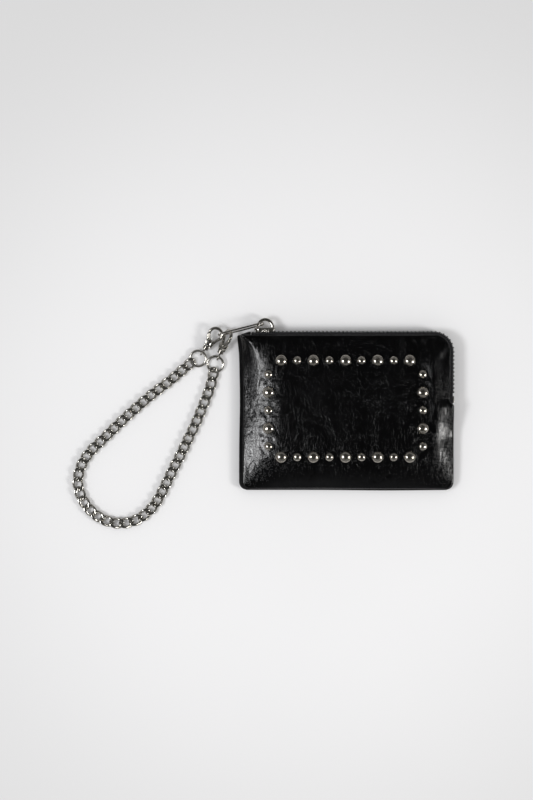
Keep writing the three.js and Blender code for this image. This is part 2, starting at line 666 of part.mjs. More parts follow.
function addHook({ name, eye, heading, pitch, roll, eyeRoll }) {
  const [eyeX, eyeY] = [PULL_END[0] + eye[0], PULL_END[1] + eye[1]];
  const seat = new THREE.Group();
  seat.position.set(eyeX, eyeY, HOOK_EYE_HEIGHT);
  seat.rotation.order = 'ZYX';
  seat.rotation.set(radians(roll), radians(-pitch), radians(heading));
  addPiece(`${name}_hook`, geometryOf(hookBody()), 'nickel', seat);
  addPiece(`${name}_gate`, gateGeometry(), 'nickel', seat);
  addPiece(`${name}_gate_spring`, closed(springGeometry()), 'steel', seat);
  const pin = new THREE.CylinderGeometry(PIN_RADIUS, PIN_RADIUS, BASE_THICKNESS, 8);
  pin.rotateX(Math.PI / 2).translate(...GATE_PIVOT, 0);
  addPiece(`${name}_gate_pin`, closed(pin), 'steel', seat);
  addPiece(`${name}_swivel_eye`, swivelGeometry().rotateX(radians(eyeRoll)), 'nickel', seat);
  wallet.add(seat);

  const ringSeat = new THREE.Group();
  const tilt = radians(RING_TILT);
  const level = RING_RADIUS * Math.cos(tilt);
  ringSeat.position.set(
    eyeX - level * Math.cos(radians(heading)),
    eyeY - level * Math.sin(radians(heading)),
    HOOK_EYE_HEIGHT - RING_RADIUS * Math.sin(tilt),
  );
  ringSeat.rotation.order = 'ZYX';
  ringSeat.rotation.set(0, -tilt, radians(heading));
  const ring = new THREE.TorusGeometry(RING_RADIUS, RING_WIRE / 2, 6, 18);
  addPiece(`${name}_jump_ring`, closed(ring), 'nickel', ringSeat);
  wallet.add(ringSeat);
}

// ---- chain ----
function addChain() {
  const route = CHAIN_ROUTE.map(([x, y]) => new THREE.Vector3(
    PULL_END[0] + x, PULL_END[1] + y, CHAIN_THICKNESS / 2,
  ));
  const section = new THREE.Shape();
  section.absellipse(0, 0, CHAIN_THICKNESS / 2, CHAIN_WIDTH / 2, 0, Math.PI * 2);
  const settings = { steps: CHAIN_STEPS, extrudePath: new THREE.CatmullRomCurve3(route), curveSegments: 4 };
  addPiece('chain', closed(new THREE.ExtrudeGeometry(section, settings)), 'nickel');
}

addPanels();
addStuds();
addZipSide('front', 1);
addZipSide('back', -1);
addZipEnds();
addSlider();
addPull();
HOOKS.forEach(addHook);
addChain();

export default wallet;
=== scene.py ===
import math

import bpy
from mathutils import Matrix, Vector, noise


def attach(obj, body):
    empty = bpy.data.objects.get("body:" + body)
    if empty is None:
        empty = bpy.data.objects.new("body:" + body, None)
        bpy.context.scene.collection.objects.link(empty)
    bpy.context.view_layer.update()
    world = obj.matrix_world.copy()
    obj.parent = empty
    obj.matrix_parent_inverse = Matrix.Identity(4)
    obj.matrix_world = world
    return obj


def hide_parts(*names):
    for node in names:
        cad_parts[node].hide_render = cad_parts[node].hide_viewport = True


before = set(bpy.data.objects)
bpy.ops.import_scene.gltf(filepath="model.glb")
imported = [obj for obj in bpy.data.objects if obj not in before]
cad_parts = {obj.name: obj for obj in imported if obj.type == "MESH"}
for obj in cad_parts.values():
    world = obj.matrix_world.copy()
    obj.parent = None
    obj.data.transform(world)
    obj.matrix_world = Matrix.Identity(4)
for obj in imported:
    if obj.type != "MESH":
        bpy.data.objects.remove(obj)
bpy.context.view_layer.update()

MM = 0.001


# ---- camera, straight down ----
scene = bpy.context.scene
VIEW_HEIGHT = 0.480
CAMERA_DISTANCE = 2.0
camera_data = bpy.data.cameras.new("camera")
camera_data.sensor_width = 36
camera_data.lens = 36 * CAMERA_DISTANCE / VIEW_HEIGHT
camera_data.dof.use_dof = False
camera = bpy.data.objects.new("camera", camera_data)
camera.location = (-0.0479, 0.0061, CAMERA_DISTANCE)
scene.collection.objects.link(camera)
scene.camera = camera


# ---- shape code: a shape is (points in mm, faces) ----
SPAN_STEPS = 16
ROUNDING_ANGLES = (0, 30, 60, 90)
CAP_ANGLES = (25, 50, 72)


def merge(*shapes):
    points, faces = [], []
    for more_points, more_faces in shapes:
        start = len(points)
        points.extend(more_points)
        faces.extend(tuple(start + i for i in face) for face in more_faces)
    return points, faces


def moved(shape, matrix):
    return [matrix @ Vector(p) for p in shape[0]], shape[1]


def turn(axis, degrees):
    return Matrix.Rotation(math.radians(degrees), 4, axis)


def shift(x, y, z=0):
    return Matrix.Translation((x, y, z))


def rings_to_faces(rings, closed=False, caps=True):
    """Join rings of equal length into a skin."""
    count = len(rings[0])
    points = [p for ring in rings for p in ring]
    faces = []
    total = len(rings) if closed else len(rings) - 1
    for row in range(total):
        a, b = row * count, ((row + 1) % len(rings)) * count
        for i in range(count):
            j = (i + 1) % count
            faces.append((a + i, a + j, b + j, b + i))
    if caps and not closed:
        last = (len(rings) - 1) * count
        faces.append(tuple(reversed(range(count))))
        faces.append(tuple(range(last, last + count)))
    return points, faces


def lathe(profile, segments=32):
    """Turn (radius, height) pairs about Z; the ends are closed."""
    rings = []
    for radius, height in profile:
        rings.append([Vector((radius * math.cos(i * math.tau / segments),
                              radius * math.sin(i * math.tau / segments), height))
                      for i in range(segments)])
    return rings_to_faces(rings)


def tube(route, radius, closed=False, sides=14, squeeze=1.0, rounded=False):
    """Sweep a round or oval section along a route of points."""
    route = [Vector(p) for p in route]
    count = len(route)
    radii = list(radius) if isinstance(radius, (list, tuple)) else [radius] * count
    side = None
    rings = []
    for i, point in enumerate(route):
        before = route[i - 1] if closed or i else route[0]
        after = route[(i + 1) % count] if closed or i + 1 < count else route[-1]
        along = (after - before).normalized()
        if side is None:
            side = along.orthogonal().normalized()
        side = (side - along * side.dot(along)).normalized()
        up = along.cross(side)
        rings.append([point + side * (radii[i] * math.cos(k * math.tau / sides))
                      + up * (radii[i] * squeeze * math.sin(k * math.tau / sides))
                      for k in range(sides)])
    if rounded:
        for end, step in ((0, 1), (-1, -1)):
            core = route[end]
            along = (core - route[end + step]).normalized()
            caps = []
            for angle in CAP_ANGLES:
                a = math.radians(angle)
                caps.append([core + (p - core) * math.cos(a) + along * radii[end] * math.sin(a)
                             for p in rings[end]])
            rings = list(reversed(caps)) + rings if end == 0 else rings + caps
    return rings_to_faces(rings, closed)


def resample(route, count):
    """Even Catmull-Rom points through a route."""
    route = [Vector(p) for p in route]
    last = len(route) - 1
    fine = []
    for span in range(last):
        p0, p1, p2, p3 = (route[min(max(span + k, 0), last)] for k in (-1, 0, 1, 2))
        for step in range(SPAN_STEPS):
            t = step / SPAN_STEPS
            fine.append(0.5 * (2 * p1 + (p2 - p0) * t + (2 * p0 - 5 * p1 + 4 * p2 - p3) * t ** 2
                               + (3 * p1 - p0 - 3 * p2 + p3) * t ** 3))
    fine.append(route[last])
    lengths = [0]
    for a, b in zip(fine, fine[1:]):
        lengths.append(lengths[-1] + (b - a).length)
    result = []
    at = 0
    for k in range(count):
        goal = lengths[-1] * k / (count - 1)
        while at + 2 < len(fine) and lengths[at + 1] < goal:
            at += 1
        share = (goal - lengths[at]) / max(lengths[at + 1] - lengths[at], 1e-9)
        result.append(fine[at].lerp(fine[at + 1], min(max(share, 0), 1)))
    return result


def inset(outline, distance):
    """Move each side of a convex anticlockwise outline inwards."""
    result = []
    count = len(outline)
    for i, (x, y) in enumerate(outline):
        px, py = outline[i - 1]
        nx, ny = outline[(i + 1) % count]
        a = Vector((py - y, x - px)).normalized()
        b = Vector((y - ny, nx - x)).normalized()
        bisector = (a + b).normalized()
        result.append((x + bisector.x * distance / max(bisector.dot(a), 0.4),
                       y + bisector.y * distance / max(bisector.dot(a), 0.4)))
    return result


def slab(outline, low, high, edge=0.2):
    """A plate of convex anticlockwise outline with rounded edges."""
    rings = []
    for angle in reversed(ROUNDING_ANGLES):
        drawn = inset(outline, edge * (1 - math.cos(math.radians(angle))))
        z = low + edge * (1 - math.sin(math.radians(angle)))
        rings.append([Vector((x, y, z)) for x, y in drawn])
    for angle in ROUNDING_ANGLES:
        drawn = inset(outline, edge * (1 - math.cos(math.radians(angle))))
        z = high - edge * (1 - math.sin(math.radians(angle)))
        rings.append([Vector((x, y, z)) for x, y in drawn])
    return rings_to_faces(rings)


def rounded(points, radius, steps=4):
    """Round the corners of an anticlockwise outline."""
    result = []
    count = len(points)
    for i in range(count):
        here = Vector(points[i])
        before = Vector(points[i - 1]) - here
        after = Vector(points[(i + 1) % count]) - here
        reach = min(radius, before.length * 0.45, after.length * 0.45)
        start = here + before.normalized() * reach
        end = here + after.normalized() * reach
        for k in range(steps + 1):
            t = k / steps
            p = start * (1 - t) ** 2 + here * 2 * t * (1 - t) + end * t ** 2
            result.append((p.x, p.y))
    return result


def block(low, high, edge=0.2, corner=0.3):
    """A box with rounded corners and edges."""
    outline = rounded([(low[0], low[1]), (high[0], low[1]), (high[0], high[1]), (low[0], high[1])], corner, 3)
    return slab(outline, low[2], high[2], edge)


def torus(radius, wire, segments=48, sides=14, gap=0.0):
    """A ring about Z, with a narrow cut in it where gap is given."""
    span = math.tau - gap
    count = segments + (1 if gap else 0)
    angles = [gap / 2 + span * i / segments for i in range(count)]
    route = [(radius * math.cos(a), radius * math.sin(a), 0) for a in angles]
    return tube(route, wire, closed=not gap, sides=sides)


def piece(name, shape, material, body, slot, *nodes, sharp=40):
    """Make a Blender object from a shape in mm, tie it to its body and hide the CAD nodes it stands in for.
    """
    points, faces = shape
    mesh = bpy.data.meshes.new(name)
    mesh.from_pydata([tuple(Vector(p) * MM) for p in points], [], faces)
    mesh.validate()
    mesh.update()
    for polygon in mesh.polygons:
        polygon.use_smooth = True
    mark_sharp(mesh, math.radians(sharp))
    mesh.materials.append(material)
    obj = bpy.data.objects.new(name, mesh)
    scene.collection.objects.link(obj)
    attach(obj, body)
    if nodes:
        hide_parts(*nodes)
    return obj


def mark_sharp(mesh, angle):
    """Keep crisp every edge whose two faces turn by more than the angle."""
    normals = [p.normal.copy() for p in mesh.polygons]
    seen = {}
    for polygon in mesh.polygons:
        for key in polygon.edge_keys:
            seen.setdefault(key, []).append(polygon.index)
    for edge in mesh.edges:
        around = seen.get(edge.key, [])
        edge.use_edge_sharp = len(around) == 2 and normals[around[0]].angle(normals[around[1]], 0) > angle


def smooth(value):
    t = min(max(value, 0), 1)
    return t * t * (3 - 2 * t)


def lerp(a, b, t):
    return a + (b - a) * t


# ---- material code ----
class Graph:
    """Short calls for building a node tree."""

    def __init__(self, tree):
        self.tree = tree

    def add(self, kind, settings=None, **inputs):
        node = self.tree.nodes.new("ShaderNode" + kind)
        for key, value in (settings or {}).items():
            setattr(node, key, value)
        for key, value in inputs.items():
            self.feed(node.inputs[key.replace("_", " ")], value)
        return node

    def feed(self, socket, value):
        if isinstance(value, bpy.types.NodeSocket):
            self.tree.links.new(value, socket)
        else:
            socket.default_value = value

    def math(self, operation, a, b=0.0):
        node = self.tree.nodes.new("ShaderNodeMath")
        node.operation = operation
        for socket, value in zip(node.inputs, (a, b)):
            self.feed(socket, value)
        return node.outputs[0]

    def stretch(self, vector, scale):
        node = self.tree.nodes.new("ShaderNodeVectorMath")
        node.operation = "MULTIPLY"
        self.feed(node.inputs[0], vector)
        self.feed(node.inputs[1], scale)
        return node.outputs[0]

    def band(self, value, low, high, start=0.0, end=1.0):
        node = self.add("MapRange", {"interpolation_type": "SMOOTHSTEP"})
        for socket, given in zip(node.inputs, (value, low, high, start, end)):
            self.feed(socket, given)
        return node.outputs[0]

    def blend(self, share, a, b):
        node = self.tree.nodes.new("ShaderNodeMix")
        node.data_type = "RGBA"
        for socket, value in zip((node.inputs[0], node.inputs[6], node.inputs[7]), (share, a, b)):
            self.feed(socket, value)
        return node.outputs[2]


def group(name, inputs, outputs):
    """An empty node group: its graph, and its input and output sockets by name."""
    tree = bpy.data.node_groups.new(name, "ShaderNodeTree")
    for label, value in inputs.items():
        kind = "NodeSocketVector" if value is None else "NodeSocketFloat"
        socket = tree.interface.new_socket(name=label, in_out="INPUT", socket_type=kind)
        if value is not None:
            socket.default_value = value
    for label in outputs:
        tree.interface.new_socket(name=label, in_out="OUTPUT", socket_type="NodeSocketFloat")
    graph = Graph(tree)
    return graph, tree.nodes.new("NodeGroupInput").outputs, tree.nodes.new("NodeGroupOutput").inputs


def leather_group():
    """Crinkled glossy hide: creases running along Y, fine grain, and fine crease lines, in patches, along
    which glints are painted.
    """
    g, given, out = group("leather_grain", {"Position": None, "Crease": 1.0, "Grain": 1.0},
                          ("Height", "Painted Glint", "Cloud"))
    place = given["Position"]
    warp = g.add("TexNoise", Vector=place, Scale=90.0, Detail=2.0)
    drift = g.add("VectorMath", {"operation": "SCALE"})
    g.feed(drift.inputs[0], warp.outputs["Color"])
    drift.inputs["Scale"].default_value = 0.006
    bent = g.add("VectorMath", {"operation": "ADD"})
    g.feed(bent.inputs[0], place)
    g.feed(bent.inputs[1], drift.outputs[0])
    folds, glint_lines = None, None
    for scale, weight in (((420, 90, 200), 0.55), ((900, 260, 500), 0.3), ((700, 900, 700), 0.38)):
        tone = g.add("TexNoise", Vector=g.stretch(bent.outputs[0], scale), Scale=1.0, Detail=3.0,
                     Roughness=0.55)
        ridge = g.math("ABSOLUTE", g.math("SUBTRACT", tone.outputs["Fac"], 0.5))
        valley = g.math("MULTIPLY", g.band(ridge, 0.0, 0.045), weight)
        line = g.math("MULTIPLY", g.band(ridge, 0.014, 0.002), weight)
        glint_lines = line if glint_lines is None else g.math("ADD", glint_lines, line)
        folds = valley if folds is None else g.math("ADD", folds, valley)
    cells = g.add("TexVoronoi", {"feature": "DISTANCE_TO_EDGE"}, Vector=bent.outputs[0], Scale=1700.0)
    pores = g.math("MULTIPLY", g.band(cells.outputs["Distance"], 0.0, 0.12), given["Grain"])
    creased = g.math("MULTIPLY", folds, given["Crease"])
    g.feed(out["Height"], g.math("ADD", creased, g.math("MULTIPLY", pores, 0.04)))
    cloud = g.add("TexNoise", Vector=place, Scale=55.0, Detail=4.0)
    patches = g.add("TexNoise", Vector=place, Scale=140.0, Detail=2.0)
    # painted glints: narrow crease lines, in patches, coloured lighter to stand in for reflected light
    g.feed(out["Painted Glint"], g.math("MULTIPLY", glint_lines, g.band(patches.outputs["Fac"], 0.44, 0.62)))
    g.feed(out["Cloud"], g.band(cloud.outputs["Fac"], 0.35, 0.68))
    return g.tree


def metal_group():
    """Plated metal that has been handled: hairline scratches, dull smears and small pits."""
    g, given, out = group("metal_wear", {"Position": None, "Scale": 1.0},
                          ("Scratches", "Smears", "Pits"))
    scaled = g.add("VectorMath", {"operation": "SCALE"})
    g.feed(scaled.inputs[0], given["Position"])
    g.feed(scaled.inputs["Scale"], given["Scale"])
    place = scaled.outputs[0]
    lines = None
    for scale in ((2600, 160, 700), (220, 2400, 900)):
        tone = g.add("TexNoise", Vector=g.stretch(place, scale), Scale=1.0, Detail=2.0)
        line = g.band(g.math("ABSOLUTE", g.math("SUBTRACT", tone.outputs["Fac"], 0.5)), 0.012, 0.0)
        lines = line if lines is None else g.math("MAXIMUM", lines, line)
    g.feed(out["Scratches"], lines)
    smear = g.add("TexNoise", Vector=place, Scale=420.0, Detail=5.0, Roughness=0.65)
    g.feed(out["Smears"], g.band(smear.outputs["Fac"], 0.36, 0.7))
    pit = g.add("TexVoronoi", Vector=place, Scale=1500.0)
    g.feed(out["Pits"], g.band(pit.outputs["Distance"], 0.16, 0.05))
    return g.tree


def weave_group():
    """Plain woven threads, seen as crossing ridges with a little slub."""
    g, given, out = group("weave", {"Position": None, "Pitch": 0.00045}, ("Height", "Slub"))
    turned = g.add("Mapping")
    g.feed(turned.inputs["Vector"], given["Position"])
    turned.inputs["Rotation"].default_value = (0.55, 0.35, 0.2)
    parts = g.add("SeparateXYZ")
    g.feed(parts.inputs[0], turned.outputs[0])
    waves = []
    for label in ("X", "Y", "Z"):
        angle = g.math("MULTIPLY", g.math("DIVIDE", parts.outputs[label], given["Pitch"]), math.pi)
        waves.append(g.math("ABSOLUTE", g.math("SINE", angle)))
    g.feed(out["Height"], g.math("MAXIMUM", g.math("MULTIPLY", waves[0], waves[2]), waves[1]))
    slub = g.add("TexNoise", Vector=given["Position"], Scale=700.0, Detail=3.0)
    g.feed(out["Slub"], g.band(slub.outputs["Fac"], 0.3, 0.7))
    return g.tree


def dust_group():
    """Sparse lint and dust specks."""
    g, given, out = group("dust", {"Position": None, "Amount": 0.5}, ("Specks",))
    dots = g.add("TexVoronoi", Vector=given["Position"], Scale=330.0)
    chance = g.add("TexNoise", Vector=given["Position"], Scale=150.0, Detail=1.0)
    dot = g.band(dots.outputs["Distance"], 0.085, 0.04)
    g.feed(out["Specks"], g.math("MULTIPLY", g.math("MULTIPLY", dot, g.band(chance.outputs["Fac"], 0.5, 0.6)),
                                 given["Amount"]))
    return g.tree


GROUPS = {"leather": leather_group(), "metal": metal_group(), "weave": weave_group(), "dust": dust_group()}


def material(name):
    """A material with its graph, its surface shader and the surface position."""
    made = bpy.data.materials.new(name)
    made.use_nodes = True
    g = Graph(made.node_tree)
    shader = made.node_tree.nodes["Principled BSDF"]
    place = g.add("TexCoord").outputs["Object"]
    return made, g, shader, place


def use(g, key, **inputs):
    node = g.tree.nodes.new("ShaderNodeGroup")
    node.node_tree = GROUPS[key]
    for label, value in inputs.items():
        g.feed(node.inputs[label], value)
    return node.outputs


def bumped(g, shader, layers):
    """Stack bumps: (height, distance in metres, strength)."""
    normal = None
    for height, distance, strength in layers:
        bump = g.add("Bump", Height=height, Distance=distance, Strength=strength)
        if normal is not None:
            g.feed(bump.inputs["Normal"], normal)
        normal = bump.outputs["Normal"]
    g.feed(shader.inputs["Normal"], normal)


DUST_GREY = (0.2, 0.19, 0.18, 1)
LINT_GREY = (0.18, 0.17, 0.16, 1)


def leather(name, deep, painted_glint, crease, rough, gloss, dust):
    """Coated hide: deep is its colour; the second colour is a painted glint, lighter, along its finest fold
    lines.
    """
    made, g, shader, place = material(name)
    shade = tuple(value * 0.5 for value in deep[:3]) + (1,)
    hide = use(g, "leather", Position=place, Crease=crease)
    specks = use(g, "dust", Position=place, Amount=dust)["Specks"]
    # painted glint: the finest fold lines take the lighter colour
    tone = g.blend(hide["Painted Glint"], deep, painted_glint)
    tone = g.blend(g.math("MULTIPLY", hide["Cloud"], 0.5), tone, shade)
    g.feed(shader.inputs["Base Color"], g.blend(specks, tone, DUST_GREY))
    dull = g.math("ADD", g.math("MULTIPLY", hide["Cloud"], 0.03), rough)
    g.feed(shader.inputs["Roughness"], g.math("ADD", dull, g.math("MULTIPLY", specks, 0.4)))
    shader.inputs["Specular IOR Level"].default_value = 0.30
    g.feed(shader.inputs["Coat Weight"], g.band(hide["Cloud"], 0.0, 1.0, gloss, gloss * 0.5))
    shader.inputs["Coat Roughness"].default_value = 0.08
    bumped(g, shader, ((hide["Height"], 0.000052, 0.9),))
    return made


def plated(name, bright, dull, rough, scale):
    """Bright plating that dulls where it is smeared or pitted."""
    made, g, shader, place = material(name)
    wear = use(g, "metal", Position=place, Scale=scale)
    worn = g.math("MAXIMUM", g.math("MULTIPLY", wear["Smears"], 0.6), wear["Pits"])
    g.feed(shader.inputs["Base Color"], g.blend(worn, bright, dull))
    shader.inputs["Metallic"].default_value = 1.0
    scratched = g.math("ADD", g.math("MULTIPLY", wear["Scratches"], 0.12), rough)
    g.feed(shader.inputs["Roughness"], g.math("ADD", g.math("MULTIPLY", wear["Smears"], 0.1), scratched))
    bumped(g, shader, ((wear["Scratches"], 0.00001, 0.25), (wear["Pits"], 0.00002, 0.3)))
    return made


def woven(name, colour, thread_top_highlight, pitch, rough):
    """Matt cloth: its second colour is a painted highlight along the tops of its threads."""
    made, g, shader, place = material(name)
    cloth = use(g, "weave", Position=place, Pitch=pitch)
    specks = use(g, "dust", Position=place, Amount=0.5)["Specks"]
    lit = g.math("MULTIPLY", cloth["Height"], g.band(cloth["Slub"], 0.0, 1.0, 0.5, 1.0))
    # painted highlight: the thread tops take the lighter colour
    tone = g.blend(lit, colour, thread_top_highlight)
    g.feed(shader.inputs["Base Color"], g.blend(specks, tone, LINT_GREY))
    g.feed(shader.inputs["Roughness"], g.band(cloth["Slub"], 0.0, 1.0, rough, rough + 0.1))
    shader.inputs["Sheen Weight"].default_value = 0.06
    shader.inputs["Specular IOR Level"].default_value = 0.1
    bumped(g, shader, ((cloth["Height"], 0.0001, 0.6),))
    return made


def lacquered(name):
    """Black lacquered zip teeth, rubbed in places."""
    made, g, shader, place = material(name)
    wear = use(g, "metal", Position=place, Scale=0.8)
    specks = use(g, "dust", Position=place, Amount=0.4)["Specks"]
    tone = g.blend(g.math("MULTIPLY", wear["Pits"], 0.5), (0.009, 0.009, 0.010, 1), (0.05, 0.048, 0.045, 1))
    g.feed(shader.inputs["Base Color"], g.blend(specks, tone, DUST_GREY))
    g.feed(shader.inputs["Metallic"], g.math("MULTIPLY", wear["Pits"], 0.5))
    g.feed(shader.inputs["Roughness"], g.math("ADD", g.math("MULTIPLY", wear["Smears"], 0.15), 0.22))
    shader.inputs["Specular IOR Level"].default_value = 0.35
    bumped(g, shader, ((wear["Scratches"], 0.00001, 0.3),))
    return made


FRONT_LEATHER = leather("front_leather", (0.0008, 0.0008, 0.0010, 1), (0.010, 0.010, 0.011, 1),
                        crease=1.0, rough=0.07, gloss=0.15, dust=0.06)
# back and end-fold leather: the same black hide as the front, painted lighter as a painted highlight for the
# light their rolled edges and fold catch
BACK_LEATHER_PAINTED_LIGHTER = leather("back_leather", (0.016, 0.016, 0.017, 1), (0.045, 0.045, 0.047, 1),
                       crease=0.7, rough=0.36, gloss=0.12, dust=0.5)
EDGE_LEATHER_PAINTED_LIGHTER = leather("edge_leather", (0.008, 0.008, 0.009, 1), (0.02, 0.02, 0.022, 1),
                       crease=0.6, rough=0.36, gloss=0.1, dust=0.5)
TAPE_CLOTH = woven("zip_tape_cloth", (0.006, 0.006, 0.007, 1), (0.022, 0.022, 0.024, 1), 0.00042, 0.72)
LINING_CLOTH = woven("lining_cloth", (0.010, 0.010, 0.012, 1), (0.030, 0.030, 0.034, 1), 0.00035, 0.66)
TEETH = lacquered("zip_teeth_lacquer")
STUD_METAL = plated("stud_nickel", (0.60, 0.565, 0.50, 1), (0.34, 0.31, 0.27, 1), 0.12, 1.0)
ZIP_METAL = plated("zip_nickel", (0.60, 0.58, 0.54, 1), (0.34, 0.32, 0.29, 1), 0.10, 1.0)
HOOK_METAL = plated("hook_nickel", (0.46, 0.44, 0.40, 1), (0.24, 0.23, 0.21, 1), 0.11, 1.1)
CHAIN_METAL = plated("chain_chrome", (0.62, 0.60, 0.56, 1), (0.34, 0.33, 0.30, 1), 0.13, 1.2)
SPRING_METAL = plated("spring_steel", (0.52, 0.52, 0.51, 1), (0.32, 0.31, 0.30, 1), 0.26, 1.5)


# ---- the chain: curb links along its route ----
CHAIN_ROUTE = (
    (-94.2, 27.5), (-96.8, 25.3), (-100.2, 22.4), (-105.4, 17.9), (-111.1, 13.6), (-116.8, 9.2),
    (-122.3, 4.5), (-127.7, -0.2), (-133, -5), (-138.2, -9.9), (-143.3, -14.9), (-148.5, -19.9),
    (-153.5, -24.8), (-157.5, -30.5), (-160.1, -36.8), (-160.9, -43.7), (-159.4, -50.5),
    (-156, -56.8), (-151.1, -62), (-145, -65.8), (-138.2, -67.6), (-131, -67.3), (-124.3, -64.9),
    (-118.4, -60.4), (-113.8, -54.8), (-110.2, -48.4), (-107, -41.9), (-103.9, -35.5),
    (-100.6, -29.1), (-97.4, -22.6), (-94.3, -16.1), (-91.1, -9.6), (-88.3, -3), (-85.5, 3.7),
    (-83, 10.1), (-81.4, 14.6), (-79.8, 21.5),
)
CHAIN_HEIGHT = 1.8
LINK_PITCH = 5.95
LINK_HALF_LENGTH = 3.83
LINK_HALF_WIDTH = 2.62
LINK_WIRE = 0.86
LINK_TWIST = 40
LINK_STEPS = 40
FLAT_HALF = 1.4
FLAT_EDGE = 0.25
ROUTE_STEPS = 400
HEADING_REACH = 3


def squared(value, power):
    """Push a sine or cosine towards its extremes, which squares a circle."""
    return math.copysign(abs(value) ** power, value)


def curb_link():
    """One twisted oval link, pressed flat on both faces."""
    route = []
    for i in range(LINK_STEPS):
        a = math.tau * i / LINK_STEPS
        x = LINK_HALF_LENGTH * squared(math.cos(a), 0.86)
        y = LINK_HALF_WIDTH * squared(math.sin(a), 0.86)
        t = math.radians(LINK_TWIST) * x / LINK_HALF_LENGTH
        route.append((x, y * math.cos(t), y * math.sin(t)))
    points, faces = tube(route, LINK_WIRE, closed=True, sides=14)
    pressed = []
    free = FLAT_HALF - FLAT_EDGE
    for p in points:
        z = p.z
        if abs(z) > free:
            z = math.copysign(free + FLAT_EDGE * math.tanh((abs(z) - free) / FLAT_EDGE), z)
        pressed.append(Vector((p.x, p.y, z)))
    return pressed, faces


def chain_shape():
    """The links end to end, with the line that they follow and its length."""
    route = resample([(x, y, CHAIN_HEIGHT) for x, y in CHAIN_ROUTE], ROUTE_STEPS)
    length = sum((b - a).length for a, b in zip(route, route[1:]))
    count = round(length / LINK_PITCH) + 1
    link = curb_link()
    links = []
    for i, centre in enumerate(resample(route, count)):
        at = round(i * (ROUTE_STEPS - 1) / (count - 1))
        at = min(max(at, HEADING_REACH), ROUTE_STEPS - 1 - HEADING_REACH)
        along = route[at + HEADING_REACH] - route[at - HEADING_REACH]
        heading = math.degrees(math.atan2(along.y, along.x))
        loose = noise.noise(Vector((i * 1.7, 4.2, 0))) * 7
        links.append(moved(link, Matrix.Translation(centre) @ turn("Z", heading + loose * 0.3)
                           @ turn("X", loose)))
    return merge(*links), route, length


chain_links, chain_path, chain_length = chain_shape()
chain = piece("curb_chain", chain_links, CHAIN_METAL, "pull", "chain_metal", "chain")


# ---- the pouch's surface, in mm ----
HALF_WIDTH = 64.3
HALF_HEIGHT = 47.3
LEATHER_THICKNESS = 1.0
SEAM = 4.0
ZIP_HEIGHT = 5.6
ZIP_LINE = 46.2
ZIP_RIM = 10.2
ZIP_START = -57
ZIP_END = 4
CENTRE_HEIGHT = 12.6
ZIP_INSET = 2.2
FRONT_INSET_LEFT, FRONT_INSET_BOTTOM = 1.8, 0.7
SEAM_GAP = 0.15
MOUTH_FADE = 21
SEWN_CORNER, ZIP_CORNER = 5, 9.8
TOP_LEFT_CORNER = 1.2


def pillow(x, y):
    return max(1 - abs(x / HALF_WIDTH) ** 4, 0) * max(1 - abs(y / HALF_HEIGHT) ** 4, 0)


def mouth(x, y):
    """1 where the panels are held apart by the zip, 0 where they are sewn together."""
    from_left, from_top, from_right = x + HALF_WIDTH, HALF_HEIGHT - y, HALF_WIDTH - x
    around = from_left / (from_left + from_top + 1e-6)
    side_end = smooth((y - ZIP_END + MOUTH_FADE + 0.3 * from_right) / (MOUTH_FADE + 0.5 * from_right))
    return smooth((around - 0.1) / 0.45) * side_end


def front_over(x, y):
    """The plain outer face of the front panel."""
    rim = lerp(SEAM + SEAM_GAP, ZIP_RIM, mouth(x, y))
    return lerp(rim, CENTRE_HEIGHT, pillow(x, y)) + LEATHER_THICKNESS


def back_under(x, y):
    """The plain outer face of the back panel; it curls up to the seam."""
    curl = max(0, 1 - pillow(x, y) / 0.5) ** 2
    return (SEAM - SEAM_GAP - LEATHER_THICKNESS) * (1 - mouth(x, y)) * curl


LARGE, SMALL = (3.6, 2.6), (2.65, 2.0)  # radius and rise
ROW_COUNT, COLUMN_COUNT = 9, 5
ROW_MIDDLE, ROW_PITCH = -0.8, 9.58
COLUMN_PITCH = 10.75
TOP_ROW, BOTTOM_ROW = 29.7, -27.8
LEFT_COLUMN, RIGHT_COLUMN = -46.7, 45.3


def stud_places():
    places = []
    for i in range(ROW_COUNT):
        x = ROW_MIDDLE + (i - ROW_COUNT // 2) * ROW_PITCH
        size = SMALL if i % 2 else LARGE
        places.append((f"stud_top_{i + 1}", x, TOP_ROW, size))
        places.append((f"stud_bottom_{i + 1}", x, BOTTOM_ROW, size))
    for i in range(COLUMN_COUNT):
        y = (COLUMN_COUNT // 2 - i) * COLUMN_PITCH
        size = LARGE if i % 2 else SMALL
        places.append((f"stud_left_{i + 1}", LEFT_COLUMN, y, size))
        places.append((f"stud_right_{i + 1}", RIGHT_COLUMN, y, size))
    return places


STUDS = stud_places()


def hump(value, middle, width):
    return math.exp(-((value - middle) / width) ** 2)


def crease(x, y, size, run, seed, sharpness=0.13):
    """A broken valley: 1 in its bottom, 0 on the flat between."""
    drift = noise.noise(Vector((x / 26, y / 26, seed))) * 0.8 * size
    n = noise.noise(Vector(((x + drift) / size, y / run, seed * 3.7)))
    breaks = smooth(noise.noise(Vector((x / (2.2 * size), y / (0.8 * run), seed + 9))) * 2.2 + 0.62)
    return max(0.0, 1 - abs(n) / sharpness) ** 1.6 * breaks


STUD_REACH = 11.402  # how far a stud draws the leather round it


def held_by_studs(x, y, height):
    """The relief drawn down and puckered round the studs, and how firmly it is held there."""
    seated = 0.0
    for _, sx, sy, (radius, _) in STUDS:
        d = math.hypot(x - sx, y - sy)
        if d < STUD_REACH:
            hold = math.exp(-(d / (radius + 1.6)) ** 3)
            around = math.atan2(y - sy, x - sx)
            pucker = 0.04 * math.sin(6 * around + sx + 2 * sy) * hump(d, radius + 2.2, 1.8)
            height = height * (1 - hold) + pucker - 0.20 * hump(d, radius + 1.1, 1.5) * (1 - hold)
            seated = max(seated, hold)
    return height, seated


